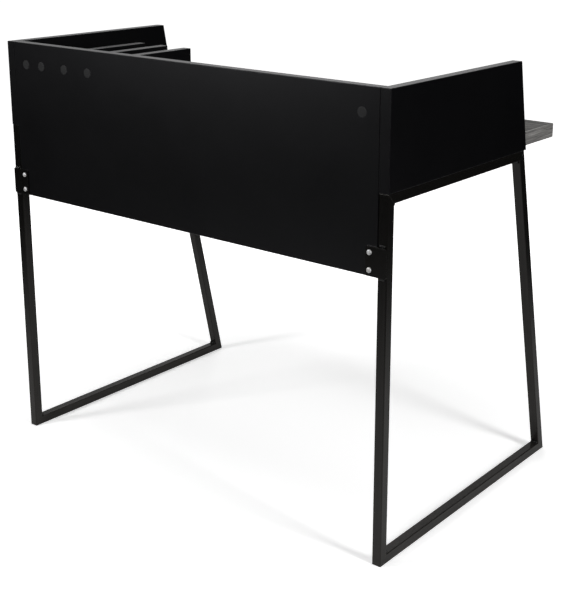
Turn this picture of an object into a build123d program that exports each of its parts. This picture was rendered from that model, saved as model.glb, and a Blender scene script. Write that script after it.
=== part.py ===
from build123d import *
import os

# Compact home-office desk with raised sides, a modesty panel, a letter rack and two welded leg frames.
#
# Frame: +Z up, the user sits on the -Y side, +X is the user's right. The origin is on the floor, at the
# centre of the bounding box. All lengths are in millimetres.

# ---------------------------------------------------------------- driving dimensions
# Whole desk
DESK_WIDTH = 1020.0  # over the outer faces of the two side panels
DESK_DEPTH = 650.0  # rear face of the back panel to the desktop's front edge
DESK_HEIGHT = 910.0  # floor to the top of the panels
DESKTOP_HEIGHT = 755.0  # floor to the writing surface

# Boards
PANEL_THICKNESS = 22.0  # back panel, side panels and rack dividers
DESKTOP_THICKNESS = 30.0
BACK_PANEL_HEIGHT = 340.0
SIDE_TOP_DEPTH = 456.5  # top edge of a side panel, front to rear
SIDE_BOTTOM_DEPTH = 491.5  # bottom edge of a side panel, front to rear
EDGE_CHAMFER = 0.8  # eased board edges

# Letter rack at the user's right
DIVIDER_COUNT = 3
DIVIDER_DEPTH = 275.0
DIVIDER_DROP = 22.0  # divider tops below the panel tops
DIVIDER_PITCH = 73.0
FIRST_DIVIDER_OFFSET = 88.0  # right side panel's inner face to the first divider's middle

# Leg frames
TUBE_SIZE = 20.0
TUBE_WALL = 1.5
TUBE_CORNER_RADIUS = 2.0
TUBE_INSET = 1.0  # tube's outer face inside the side panel's outer face
FRAME_TOP_SETBACK = 6.5  # front leg's top behind the side panel's lower front corner
FRAME_CORNER_RADIUS = 2.0  # ground welds on the frame's outer corners
WELD_LEG = 4.0  # fillet welds in the frame's inner corners
WELD_HOLLOW = 0.8  # how far a weld's face dips

# Brackets that tie the rear legs to the back panel
BRACKET_WIDTH = 45.0
BRACKET_HEIGHT = 56.0
BRACKET_THICKNESS = 3.0
BRACKET_RISE = 1.0  # bracket's lower edge above the back panel's lower edge
BRACKET_CORNER_RADIUS = 3.0
BRACKET_WELD_HEIGHT = 5.0
BRACKET_SCREW_PITCH = 33.0
BRACKET_SCREW_EDGE = 9.0  # screw line to the bracket's inner end
BRACKET_SCREW_LENGTH = 18.0
BRACKET_SCREW_RADIUS = 2.4
BRACKET_SCREW_HEAD_RADIUS = 5.0
BRACKET_SCREW_HEAD_HEIGHT = 3.0

# Cam connectors
CAM_RADIUS = 7.5
CAM_SETBACK = 38.0  # cam's middle to the board's end
CAM_BELOW_BOLT = 5.0  # cam depth past the bolt's axis
CAM_RECESS = 0.5  # cam's face below the board's face
CAM_DRIVER_SLOT = (9.0, 1.4, 2.2)  # length, width and depth
BOLT_RADIUS = 2.5
BOLT_HEAD_RADIUS = 3.5
BOLT_HEAD_LENGTH = 3.2
BOLT_THREAD_LENGTH = 11.0  # length screwed into the mating panel

# Dowels
DOWEL_RADIUS = 4.0
DOWEL_LENGTH = 30.0
DOWEL_SHORT_END = 12.0  # length in the panel's face, the rest is in the board's end

# Screws through the back panel into the dividers
RACK_SCREW_LENGTH = 50.0
RACK_SCREW_RADIUS = 3.2
RACK_SCREW_HEAD_RADIUS = 5.0
RACK_SCREW_HEAD_HEIGHT = 3.0

# Round covers on the rear face
COVER_RADIUS = 10.0
COVER_THICKNESS = 0.6
FASTENER_DROP = 47.0  # row of covered fasteners below the panel tops

# Places of the hidden joints
SIDE_DOWEL_RISE = 65.0  # back panel's end dowels above the side panels' lower edges
DESKTOP_CAM_PLACE = 400.0  # desktop's end cams from the rear face
REAR_DOWEL_SPACING = 500.0  # between the two dowels in the desktop's rear edge

# Clearances
HOLE_CLEARANCE = 0.15  # round a pin, a screw or a cam
END_CLEARANCE = 0.5  # past a pin's end

# ---------------------------------------------------------------- derived places
overhang = BRACKET_THICKNESS + BRACKET_SCREW_HEAD_HEIGHT  # brackets and screw heads behind the rear face
rear_y = (DESK_DEPTH - overhang) / 2
front_y = rear_y - DESK_DEPTH
panel_front_y = rear_y - PANEL_THICKNESS
side_outer_x = DESK_WIDTH / 2
side_inner_x = side_outer_x - PANEL_THICKNESS
tube_outer_x = side_outer_x - TUBE_INSET
tube_middle_x = tube_outer_x - TUBE_SIZE / 2
desktop_bottom_z = DESKTOP_HEIGHT - DESKTOP_THICKNESS
desktop_middle_z = DESKTOP_HEIGHT - DESKTOP_THICKNESS / 2
frame_top_z = desktop_bottom_z
frame_top_front_y = rear_y - SIDE_BOTTOM_DEPTH + FRAME_TOP_SETBACK
back_panel_bottom_z = DESK_HEIGHT - BACK_PANEL_HEIGHT
divider_top_z = DESK_HEIGHT - DIVIDER_DROP
divider_front_y = panel_front_y - DIVIDER_DEPTH
cover_row_z = DESK_HEIGHT - FASTENER_DROP
divider_xs = [side_inner_x - FIRST_DIVIDER_OFFSET - DIVIDER_PITCH * i for i in range(DIVIDER_COUNT)]
bracket_bottom_z = back_panel_bottom_z + BRACKET_RISE
bracket_middle_z = bracket_bottom_z + BRACKET_HEIGHT / 2
bracket_middle_x = tube_outer_x - BRACKET_WIDTH / 2
bracket_screw_x = tube_outer_x - BRACKET_WIDTH + BRACKET_SCREW_EDGE

SIDES = {"left": -1, "right": 1}
BACKWARD = Vector(0, 1, 0)
DOWN = Vector(0, 0, -1)


def outward(sign):
    """Unit vector along X, away from the middle of the desk on the side with this sign."""
    return Vector(sign, 0, 0)


# ---------------------------------------------------------------- shared shapes
def board(low, high):
    """A board between two opposite corners, with all its edges eased."""
    size = [h - l for l, h in zip(low, high)]
    middle = [(h + l) / 2 for l, h in zip(low, high)]
    block = Pos(*middle) * Box(*size)
    return chamfer(block.edges(), EDGE_CHAMFER)


def prism(points, x_low, x_high):
    """A solid whose side view is the polygon of (y, z) points, between two X values."""
    outline = Polyline(*[(x_low, y, z) for y, z in points], close=True)
    return extrude(make_face(outline), amount=x_high - x_low, dir=(1, 0, 0))


def turned(profile, mouth, axis):
    """A turned piece: the (radius, height) profile revolved about its axis, with height 0 at the mouth."""
    outline = Polyline(*[(r, 0, h) for r, h in profile], close=True)
    piece = revolve(make_face(outline), axis=Axis.Z)
    return Plane(origin=mouth, z_dir=axis).location * piece


def drilling(mouth, axis, radius, depth):
    """Cutter for a blind hole from the mouth, against the axis; it starts a little outside the mouth."""
    return turned([(0, 1), (radius, 1), (radius, -depth), (0, -depth)], mouth, axis)


def headed_screw(mouth, axis, head, shank_radius, length):
    """Screw that bears on the mouth; its tapered head of (radius, height) stands out along the axis."""
    head_radius, head_height = head
    profile = [
        (0, head_height),
        (head_radius * 0.75, head_height),
        (head_radius, 0),
        (shank_radius, 0),
        (shank_radius, -length),
        (0, -length),
    ]
    return turned(profile, mouth, axis)


def cover(mouth, axis):
    """Thin round cover that lies on a face."""
    profile = [(0, COVER_THICKNESS), (COVER_RADIUS, COVER_THICKNESS), (COVER_RADIUS, 0), (0, 0)]
    return turned(profile, mouth, axis)


# ---------------------------------------------------------------- joints between boards
class Joints:
    """Collects what the joints add: pieces by node name, and the holes that they need in each board."""

    def __init__(self):
        self.pieces = {}
        self.holes = {}

    def add_piece(self, node, solid):
        self.pieces.setdefault(node, []).append(solid)

    def add_hole(self, board_name, cutter):
        self.holes.setdefault(board_name, []).append(cutter)

    def cam(self, node, mouth, face_normal, bolt_dir, bolt_depth, board_name, mate_name):
        """Cam in a board's face, and the bolt that it pulls, which is screwed into the mating panel.

        mouth is the cam's middle on the face, and bolt_depth the depth of the bolt's axis below it.
        """
        place = Plane(origin=mouth, x_dir=bolt_dir, z_dir=face_normal).location
        depth = bolt_depth + CAM_BELOW_BOLT
        self.add_hole(board_name, drilling(mouth, face_normal, CAM_RADIUS + HOLE_CLEARANCE, depth))
        profile = [(0, -CAM_RECESS), (CAM_RADIUS, -CAM_RECESS), (CAM_RADIUS, -depth), (0, -depth)]
        housing = turned(profile, mouth, face_normal)
        slot_length, slot_width, slot_depth = CAM_DRIVER_SLOT
        housing -= place * Pos(0, 0, -CAM_RECESS) * Box(slot_length, slot_width, 2 * slot_depth)
        shank_gap = 2 * (BOLT_RADIUS + HOLE_CLEARANCE)
        head_gap = 2 * (BOLT_HEAD_RADIUS + HOLE_CLEARANCE)
        head_room = BOLT_HEAD_LENGTH + 2 * HOLE_CLEARANCE
        housing -= place * Pos(CAM_RADIUS, 0, -bolt_depth) * Box(2 * CAM_RADIUS, shank_gap, shank_gap)
        housing -= place * Pos(0, 0, -bolt_depth) * Box(head_room, head_gap, head_gap)
        self.add_piece(node + "_cams", housing)

        axis_start = mouth - face_normal * bolt_depth
        head_end = BOLT_HEAD_LENGTH / 2
        bolt_end = CAM_SETBACK + BOLT_THREAD_LENGTH
        profile = [
            (0, -head_end),
            (BOLT_HEAD_RADIUS, -head_end),
            (BOLT_HEAD_RADIUS, head_end),
            (BOLT_RADIUS, head_end),
            (BOLT_RADIUS, bolt_end),
            (0, bolt_end),
        ]
        self.add_piece(node + "_cam_bolts", turned(profile, axis_start, bolt_dir))
        board_end = axis_start + bolt_dir * CAM_SETBACK
        passage = BOLT_HEAD_RADIUS + HOLE_CLEARANCE
        self.add_hole(board_name, drilling(board_end, bolt_dir, passage, CAM_SETBACK))
        radius = BOLT_RADIUS + HOLE_CLEARANCE
        self.add_hole(mate_name, drilling(board_end, -bolt_dir, radius, BOLT_THREAD_LENGTH + END_CLEARANCE))

    def dowel(self, node, meeting, into_panel, board_name, panel_name):
        """Dowel across the meeting face, with its short end in the panel and its long end in the board."""
        long_end = DOWEL_LENGTH - DOWEL_SHORT_END
        r, short_end = DOWEL_RADIUS, DOWEL_SHORT_END
        pin = turned([(0, short_end), (r, short_end), (r, -long_end), (0, -long_end)], meeting, into_panel)
        self.add_piece(node + "_dowels", pin)
        radius = DOWEL_RADIUS + HOLE_CLEARANCE
        self.add_hole(board_name, drilling(meeting, into_panel, radius, long_end + END_CLEARANCE))
        self.add_hole(panel_name, drilling(meeting, -into_panel, radius, DOWEL_SHORT_END + END_CLEARANCE))


def rack_screw(joints, x, divider_name):
    """Screw from the rear face, through the back panel and into a divider's rear edge, under a cover."""
    mouth = Vector(x, rear_y, cover_row_z)
    cone_start = -RACK_SCREW_HEAD_HEIGHT - END_CLEARANCE
    cone_end = cone_start - (RACK_SCREW_HEAD_RADIUS - RACK_SCREW_RADIUS)
    profile = [
        (0, -END_CLEARANCE),
        (RACK_SCREW_HEAD_RADIUS, -END_CLEARANCE),
        (RACK_SCREW_HEAD_RADIUS, cone_start),
        (RACK_SCREW_RADIUS, cone_end),
        (RACK_SCREW_RADIUS, -RACK_SCREW_LENGTH),
        (0, -RACK_SCREW_LENGTH),
    ]
    joints.add_piece("rack_screws", turned(profile, mouth, BACKWARD))
    joints.add_piece("rack_screw_covers", cover(mouth, BACKWARD))
    head_radius = RACK_SCREW_HEAD_RADIUS + HOLE_CLEARANCE
    joints.add_hole("back_panel", drilling(mouth, BACKWARD, head_radius, -cone_end))
    radius = RACK_SCREW_RADIUS + HOLE_CLEARANCE
    joints.add_hole("back_panel", drilling(mouth, BACKWARD, radius, PANEL_THICKNESS + END_CLEARANCE))
    divider_face = Vector(x, panel_front_y, cover_row_z)
    depth = RACK_SCREW_LENGTH - PANEL_THICKNESS + END_CLEARANCE
    joints.add_hole(divider_name, drilling(divider_face, BACKWARD, radius, depth))


# ---------------------------------------------------------------- boards
def make_boards():
    """The boards before drilling, by node name."""
    boards = {
        "back_panel": board(
            (-side_inner_x, panel_front_y, back_panel_bottom_z), (side_inner_x, rear_y, DESK_HEIGHT)
        ),
        "desktop": board(
            (-side_inner_x, front_y, desktop_bottom_z), (side_inner_x, panel_front_y, DESKTOP_HEIGHT)
        ),
    }
    side_outline = [
        (rear_y, desktop_bottom_z),
        (rear_y, DESK_HEIGHT),
        (rear_y - SIDE_TOP_DEPTH, DESK_HEIGHT),
        (rear_y - SIDE_BOTTOM_DEPTH, desktop_bottom_z),
    ]
    for side, sign in SIDES.items():
        x_low, x_high = sorted((sign * side_inner_x, sign * side_outer_x))
        panel = prism(side_outline, x_low, x_high)
        boards[side + "_side_panel"] = chamfer(panel.edges(), EDGE_CHAMFER)
    for i, x in enumerate(divider_xs):
        low = (x - PANEL_THICKNESS / 2, divider_front_y, DESKTOP_HEIGHT)
        high = (x + PANEL_THICKNESS / 2, panel_front_y, divider_top_z)
        boards[f"rack_divider_{i + 1}"] = board(low, high)
    return boards


def make_joints():
    """Every joint between the boards."""
    joints = Joints()
    for side, sign in SIDES.items():
        side_panel = side + "_side_panel"
        out = outward(sign)
        end_x = sign * side_inner_x
        cam_x = sign * (side_inner_x - CAM_SETBACK)
        mouth = Vector(cam_x, rear_y, cover_row_z)
        joints.cam("back_panel", mouth, BACKWARD, out, PANEL_THICKNESS / 2, "back_panel", side_panel)
        joints.add_piece("cam_covers", cover(mouth, BACKWARD))
        meeting = Vector(end_x, rear_y - PANEL_THICKNESS / 2, desktop_bottom_z + SIDE_DOWEL_RISE)
        joints.dowel("back_panel", meeting, out, "back_panel", side_panel)
        mouth = Vector(cam_x, rear_y - DESKTOP_CAM_PLACE, desktop_bottom_z)
        joints.cam("desktop", mouth, DOWN, out, DESKTOP_THICKNESS / 2, "desktop", side_panel)
    for step in (-0.5, 0.5):
        meeting = Vector(step * REAR_DOWEL_SPACING, panel_front_y, desktop_middle_z)
        joints.dowel("desktop", meeting, BACKWARD, "desktop", "back_panel")
    for i, x in enumerate(divider_xs):
        rack_screw(joints, x, f"rack_divider_{i + 1}")
    return joints


# ---------------------------------------------------------------- leg frames
def frame_corners():
    """Outer and inner corners of a frame in side view, as (y, z) vectors from the top rear one forwards."""
    outer = [
        Vector(rear_y, frame_top_z),
        Vector(frame_top_front_y, frame_top_z),
        Vector(front_y, 0),
        Vector(rear_y, 0),
    ]
    inner = []
    for i, corner in enumerate(outer):
        before = (corner - outer[i - 1]).normalized()
        after = (outer[(i + 1) % 4] - corner).normalized()
        normals = [Vector(-edge.Y, edge.X) for edge in (before, after)]
        spread = 1 + normals[0].dot(normals[1])
        inner.append(corner + (normals[0] + normals[1]) * (TUBE_SIZE / spread))
    return outer, inner


def mitred_tube(start, end, outline, x_middle):
    """Square tube between two corners of the frame; each corner is its (outer, inner) pair of vectors.

    A hollow bar longer than needed is cut by the two mitres, and then by the frame's rounded outline.
    """
    spare = 2 * TUBE_SIZE
    along = (end[0] - start[0]).normalized()
    origin = (start[0] + start[1]) / 2 - along * spare
    length = (end[0] - start[0]).length + 2 * spare
    bore = TUBE_SIZE - 2 * TUBE_WALL
    section = RectangleRounded(TUBE_SIZE, TUBE_SIZE, TUBE_CORNER_RADIUS) - Rectangle(bore, bore)
    across = Plane(origin=(x_middle, origin.X, origin.Y), x_dir=(1, 0, 0), z_dir=(0, along.X, along.Y))
    tube = extrude(across * section, amount=length)
    mitres = [(outer * 2 - inner, inner * 2 - outer) for outer, inner in (start, end)]
    window = [mitres[0][0], mitres[1][0], mitres[1][1], mitres[0][1]]
    x_low = x_middle - TUBE_SIZE
    x_high = x_middle + TUBE_SIZE
    tube &= prism([(p.X, p.Y) for p in window], x_low, x_high)
    side_view = Plane(origin=(x_low, 0, 0), x_dir=(0, 1, 0), z_dir=(1, 0, 0))
    tube &= extrude(side_view * outline, amount=x_high - x_low)
    return tube


def corner_weld(corner, before, after, x_middle):
    """Fillet weld in an inner corner of the frame, with a slightly hollow face."""
    a = corner + (before - corner).normalized() * WELD_LEG
    b = corner + (after - corner).normalized() * WELD_LEG
    dip = (corner - (a + b) / 2).normalized() * WELD_HOLLOW
    hollow = (a + b) / 2 + dip
    half = TUBE_SIZE / 2 - TUBE_CORNER_RADIUS
    root, toe_a, dipped, toe_b = [Vector(x_middle - half, p.X, p.Y) for p in (corner, a, hollow, b)]
    edges = [Line(root, toe_a), ThreePointArc(toe_a, dipped, toe_b), Line(toe_b, root)]
    return extrude(make_face(edges), amount=2 * half, dir=(1, 0, 0))


def leg_frame(side, sign):
    """The tubes and corner welds of one leg frame, by node name."""
    outer, inner = frame_corners()
    x_middle = sign * tube_middle_x
    corners = list(zip(outer, inner))
    outline = make_face(Polyline(*[(p.X, p.Y) for p in outer], close=True))
    outline = fillet(outline.vertices(), FRAME_CORNER_RADIUS)
    names = ["top_rail", "front_leg", "floor_rail", "rear_leg"]
    tubes = {}
    for i, name in enumerate(names):
        tubes[f"{side}_{name}"] = mitred_tube(corners[i], corners[(i + 1) % 4], outline, x_middle)
    welds = [
        corner_weld(inner[i], inner[i - 1], inner[(i + 1) % 4], x_middle) for i in range(len(inner))
    ]
    tubes[f"{side}_frame_welds"] = Compound(children=welds)
    return tubes


# ---------------------------------------------------------------- brackets
def bracket(sign):
    """Flat steel plate on the rear face of a rear leg, which laps over the back panel."""
    middle = (sign * bracket_middle_x, rear_y, bracket_middle_z)
    face = Plane(origin=middle, x_dir=(-1, 0, 0), z_dir=(0, 1, 0))
    outline = RectangleRounded(BRACKET_WIDTH, BRACKET_HEIGHT, BRACKET_CORNER_RADIUS)
    plate = extrude(face * outline, amount=BRACKET_THICKNESS)
    radius = BRACKET_SCREW_RADIUS + 2 * HOLE_CLEARANCE
    for mouth in bracket_screw_mouths(sign):
        plate -= drilling(mouth, BACKWARD, radius, BRACKET_THICKNESS + 1)
    return plate


def bracket_screw_mouths(sign):
    """Points where the two screw heads bear on a bracket."""
    y = rear_y + BRACKET_THICKNESS
    levels = [bracket_middle_z + step * BRACKET_SCREW_PITCH for step in (-0.5, 0.5)]
    return [Vector(sign * bracket_screw_x, y, z) for z in levels]


def bracket_welds(sign):
    """Fillet welds along a bracket's upper and lower edges, on the leg's rear face."""
    half = TUBE_SIZE / 2 - max(TUBE_CORNER_RADIUS, BRACKET_CORNER_RADIUS)
    x_low = sign * tube_middle_x - half
    welds = []
    for end in (-1, 1):
        edge_z = bracket_middle_z + end * BRACKET_HEIGHT / 2
        toe_z = edge_z + end * BRACKET_WELD_HEIGHT
        root = Vector(x_low, rear_y, edge_z)
        top = Vector(x_low, rear_y + BRACKET_THICKNESS, edge_z)
        toe = Vector(x_low, rear_y, toe_z)
        crown = (top + toe) / 2 + Vector(0, 1, end) * (WELD_HOLLOW / 2)
        edges = [Line(root, top), ThreePointArc(top, crown, toe), Line(toe, root)]
        welds.append(extrude(make_face(edges), amount=2 * half, dir=(1, 0, 0)))
    return Compound(children=welds)


# ---------------------------------------------------------------- the whole desk
def make_desk():
    """All nodes by name."""
    boards = make_boards()
    joints = make_joints()
    nodes = {}
    for side, sign in SIDES.items():
        for mouth in bracket_screw_mouths(sign):
            head = (BRACKET_SCREW_HEAD_RADIUS, BRACKET_SCREW_HEAD_HEIGHT)
            screw = headed_screw(mouth, BACKWARD, head, BRACKET_SCREW_RADIUS, BRACKET_SCREW_LENGTH)
            joints.add_piece("bracket_screws", screw)
            radius = BRACKET_SCREW_RADIUS + HOLE_CLEARANCE
            hole = drilling(mouth, BACKWARD, radius, BRACKET_SCREW_LENGTH + END_CLEARANCE)
            joints.add_hole("back_panel", hole)
        nodes.update(leg_frame(side, sign))
        nodes[side + "_bracket"] = bracket(sign)
        nodes[side + "_bracket_welds"] = bracket_welds(sign)
    for name, solid in boards.items():
        nodes[name] = solid - joints.holes[name]
    for name, solids in joints.pieces.items():
        nodes[name] = Compound(children=solids)
    return nodes


os.makedirs("parts", exist_ok=True)
for node_name, node_shape in make_desk().items():
    export_step(node_shape, f"parts/{node_name}.step")
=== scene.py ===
from collections import namedtuple
from math import pi, radians

import bpy
import numpy as np
from bpy.props import FloatProperty, FloatVectorProperty, IntProperty, PointerProperty
from mathutils import Matrix, Vector


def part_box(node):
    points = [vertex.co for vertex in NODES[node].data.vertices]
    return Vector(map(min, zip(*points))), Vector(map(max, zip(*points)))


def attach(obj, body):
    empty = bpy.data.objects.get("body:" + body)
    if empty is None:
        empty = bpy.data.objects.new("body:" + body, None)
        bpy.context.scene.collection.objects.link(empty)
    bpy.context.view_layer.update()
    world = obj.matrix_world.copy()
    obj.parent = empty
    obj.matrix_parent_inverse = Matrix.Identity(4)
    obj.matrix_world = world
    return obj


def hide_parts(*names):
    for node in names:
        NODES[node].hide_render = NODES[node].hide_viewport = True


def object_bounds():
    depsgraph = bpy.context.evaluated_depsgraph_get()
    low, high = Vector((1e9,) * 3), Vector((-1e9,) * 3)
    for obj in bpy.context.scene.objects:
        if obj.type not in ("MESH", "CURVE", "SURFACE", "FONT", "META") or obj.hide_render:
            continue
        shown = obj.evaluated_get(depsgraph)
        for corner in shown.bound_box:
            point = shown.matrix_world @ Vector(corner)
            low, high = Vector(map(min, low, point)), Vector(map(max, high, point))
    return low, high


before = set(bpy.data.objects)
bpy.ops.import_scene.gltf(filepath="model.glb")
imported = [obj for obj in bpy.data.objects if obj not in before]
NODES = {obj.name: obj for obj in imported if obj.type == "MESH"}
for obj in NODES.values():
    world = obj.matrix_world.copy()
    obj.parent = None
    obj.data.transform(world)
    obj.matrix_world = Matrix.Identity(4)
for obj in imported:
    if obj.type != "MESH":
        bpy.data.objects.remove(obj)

# Finishes, small fittings, weld beads, stage and camera for a compact writing desk with a letter
# rack. Lengths are in metres, in the frame of the CAD model: +Z up, the user sits on the -Y side.

bl_info = {
    "name": "Writing Desk",
    "version": (1, 0, 0),
    "blender": (4, 5, 0),
    "location": "View3D > Sidebar > Desk",
    "description": "Adds finishes, fittings and a studio to a writing desk with a letter rack",
    "category": "Object",
}

CAD_LOW, CAD_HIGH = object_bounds()

BLACK_BOARDS = ("back_panel", "left_side_panel", "right_side_panel")
DIVIDERS = ("rack_divider_1", "rack_divider_2", "rack_divider_3")
TUBES = tuple(f"{side}_{part}" for side in ("left", "right")
              for part in ("top_rail", "front_leg", "floor_rail", "rear_leg"))
BRACKETS = ("left_bracket", "right_bracket")


# ---------------------------------------------------------------- settings
class DeskSizes(bpy.types.PropertyGroup):
    """Sizes of the fittings and the finish."""

    recess_reach: FloatProperty(
        name="Recess Reach", description="Screw head's middle to the end of a recess arm",
        default=0.0024, unit="LENGTH", precision=5)
    recess_width: FloatProperty(
        name="Recess Width", description="Width of an arm of the cross recess",
        default=0.0010, unit="LENGTH", precision=5)
    recess_depth: FloatProperty(
        name="Recess Depth", description="Depth of the cross recess at its middle",
        default=0.0014, unit="LENGTH", precision=5)
    rail_screw_inset: FloatProperty(
        name="Rail Screw Inset", description="End of a top rail to the screw under it",
        default=0.070, unit="LENGTH", precision=4)
    rail_head_radius: FloatProperty(
        name="Rail Head Radius", description="Radius of the heads under the top rails",
        default=0.0045, unit="LENGTH", precision=5)
    rail_head_height: FloatProperty(
        name="Rail Head Height", description="Height of the heads under the top rails",
        default=0.0024, unit="LENGTH", precision=5)
    ripple_pitch: FloatProperty(
        name="Ripple Pitch", description="Spacing of the ripples along a weld bead",
        default=0.0016, unit="LENGTH", precision=5)
    ripple_height: FloatProperty(
        name="Ripple Height", description="Height of the ripples on a weld bead",
        default=0.00045, unit="LENGTH", precision=5)
    corner_growth: FloatProperty(
        name="Corner Growth", description="Size of a corner bead against its plain one",
        default=1.5, min=1.0, max=2.0)
    bead_crown: FloatProperty(
        name="Bead Crown", description="Height of a bead's crown as a share of its width",
        default=0.12, min=0.0, max=0.4)
    cover_edge: FloatProperty(
        name="Cover Edge", description="Width of the rounded rim of a stick-on cover",
        default=0.0006, unit="LENGTH", precision=5)
    board_edge: FloatProperty(
        name="Board Edge", description="Apparent rounding of the board edges",
        default=0.0008, unit="LENGTH", precision=5)
    tube_edge: FloatProperty(
        name="Tube Edge", description="Apparent rounding of the tube corners",
        default=0.0016, unit="LENGTH", precision=5)
    plate_edge: FloatProperty(
        name="Plate Edge", description="Apparent rounding of the bracket edges",
        default=0.0004, unit="LENGTH", precision=5)
    columns: IntProperty(
        name="Columns", description="Faces round a turned fitting", default=64, min=16, max=128)


class DeskColours(bpy.types.PropertyGroup):
    """Base colours of the finishes."""

    board: FloatVectorProperty(
        name="Black Board", description="Satin black boards", subtype="COLOR",
        default=(0.0010, 0.0010, 0.0013))
    top_dark: FloatVectorProperty(
        name="Top Dark", description="Dark lines of the desktop's grain", subtype="COLOR",
        default=(0.028, 0.0272, 0.0265))
    top_light: FloatVectorProperty(
        name="Top Light", description="Light lines of the desktop's grain", subtype="COLOR",
        default=(0.410, 0.402, 0.388))
    steel: FloatVectorProperty(
        name="Coated Steel", description="Powder-coated tubes and brackets", subtype="COLOR",
        default=(0.0036, 0.0034, 0.0031))
    zinc: FloatVectorProperty(
        name="Zinc", description="Plated screws", subtype="COLOR", default=(0.86, 0.87, 0.89))
    cast: FloatVectorProperty(
        name="Cast Zinc", description="Cam housings and bolts", subtype="COLOR",
        default=(0.46, 0.45, 0.43))
    cover: FloatVectorProperty(
        name="Cover", description="Stick-on covers", subtype="COLOR",
        default=(0.0132, 0.0134, 0.0142))
    # Not dust: a painted reflection of the lit floor, which makes the steel lighter near the feet.
    painted_floor_reflection: FloatVectorProperty(
        name="Dust", description="Thin film of dust near the floor", subtype="COLOR",
        default=(0.52, 0.49, 0.45))
    dowel: FloatVectorProperty(
        name="Dowel", description="Beech dowels", subtype="COLOR", default=(0.56, 0.38, 0.22))


class DeskStudio(bpy.types.PropertyGroup):
    """Lamps, floor and camera."""

    key_power: FloatProperty(
        name="Key Power", description="Lamp high behind the desk", default=17.0, unit="POWER")
    left_power: FloatProperty(
        name="Left Power", description="Upright strip lamp at the left", default=52.0, unit="POWER")
    rear_power: FloatProperty(
        name="Rear Power", description="Upright strip lamp behind, to the right",
        default=31.0, unit="POWER")
    front_power: FloatProperty(
        name="Front Power", description="Broad lamp in front", default=20.0, unit="POWER")
    ambient: FloatProperty(
        name="Ambient", description="Level of the studio behind the desk", default=0.085, min=0.0)
    dim: FloatProperty(
        name="Dim Side", description="Level of the studio in front of the desk",
        default=0.020, min=0.0)
    wall: FloatProperty(
        name="Wall", description="Level of the two low lit walls", default=0.66, min=0.0)
    lens: FloatProperty(
        name="Lens", description="Focal length in millimetres", default=71.64)
    camera_place: FloatVectorProperty(
        name="Camera Place", description="Where the camera stands", subtype="TRANSLATION",
        default=(-1.644, 1.973, 1.226))
    heading: FloatProperty(
        name="Heading", description="Turn of the view from the -Y direction towards +X",
        default=radians(37.31), unit="ROTATION")
    tilt: FloatProperty(
        name="Tilt", description="Downward tilt of the view",
        default=radians(15.09), unit="ROTATION")
    roll: FloatProperty(
        name="Roll", description="Roll of the camera", default=radians(0.52), unit="ROTATION")
    shift: FloatVectorProperty(
        name="Shift", description="Sideways and upward shift of the lens", size=2,
        default=(-0.08, -0.14))


# ---------------------------------------------------------------- node helpers
def feed(tree, socket, value):
    """Links an input to another node's output, or sets it to a plain value."""
    if isinstance(value, bpy.types.NodeSocket):
        tree.links.new(value, socket)
    else:
        socket.default_value = value


def add_node(tree, kind, inputs=None, **settings):
    """A shader node with its settings and its inputs, which are named or numbered."""
    node = tree.nodes.new(kind)
    for key, value in settings.items():
        setattr(node, key, value)
    for key, value in (inputs or {}).items():
        feed(tree, node.inputs[key], value)
    return node


def maths(tree, operation, *values, clamp=False):
    """Output of a Math node."""
    return add_node(tree, "ShaderNodeMath", dict(enumerate(values)),
                    operation=operation, use_clamp=clamp).outputs[0]


def vector_maths(tree, operation, *values, output="Vector"):
    """Output of a Vector Math node."""
    node = add_node(tree, "ShaderNodeVectorMath", dict(enumerate(values)), operation=operation)
    return node.outputs[output]


def map_range(tree, value, from_min, from_max, to_min, to_max, smooth=False):
    """Output of a Map Range node."""
    return add_node(tree, "ShaderNodeMapRange", {
        "Value": value, "From Min": from_min, "From Max": from_max,
        "To Min": to_min, "To Max": to_max,
    }, interpolation_type="SMOOTHSTEP" if smooth else "LINEAR").outputs["Result"]


def noise(tree, vector, scale, detail=3.0, roughness=0.5, distortion=0.0):
    """Value of a Noise Texture; the scale is in features per metre."""
    node = add_node(tree, "ShaderNodeTexNoise", {
        "Vector": vector, "Scale": scale, "Detail": detail, "Roughness": roughness,
        "Distortion": distortion,
    })
    return node.outputs["Fac"]


def mix_colour(tree, factor, first, second, blend="MIX"):
    """Colour output of a Mix node."""
    return add_node(tree, "ShaderNodeMix", {0: factor, 6: first, 7: second},
                    data_type="RGBA", blend_type=blend).outputs[2]


def mix_vector(tree, factor, first, second):
    """Vector output of a Mix node."""
    return add_node(tree, "ShaderNodeMix", {0: factor, 4: first, 5: second},
                    data_type="VECTOR").outputs[1]


def bump(tree, depth, height, normal=None):
    """Normal of a Bump node; the depth is in metres."""
    inputs = {"Strength": 1.0, "Distance": depth, "Height": height}
    if normal is not None:
        inputs["Normal"] = normal
    return add_node(tree, "ShaderNodeBump", inputs).outputs["Normal"]


def new_group(name, inputs, outputs):
    """An empty shader node group with named sockets: (name, kind, default) in, (name, kind) out."""
    tree = bpy.data.node_groups.new(name, "ShaderNodeTree")
    for label, kind, default in inputs:
        socket = tree.interface.new_socket(
            name=label, in_out="INPUT", socket_type="NodeSocket" + kind)
        if default is not None:
            socket.default_value = default
    for label, kind in outputs:
        tree.interface.new_socket(name=label, in_out="OUTPUT", socket_type="NodeSocket" + kind)
    return tree, tree.nodes.new("NodeGroupInput"), tree.nodes.new("NodeGroupOutput")


def use_group(tree, name, build, inputs):
    """Places the node group of this name in a material, built on first use."""
    group = bpy.data.node_groups.get(name) or build(name)
    return add_node(tree, "ShaderNodeGroup", inputs, node_tree=group)


def once(name, build):
    """The material of this name, built on first use."""
    return bpy.data.materials.get(name) or build(name)


def rgba(colour, shade=1.0):
    """An opaque colour, a number of times as light."""
    return (*(part * shade for part in colour), 1.0)


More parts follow.
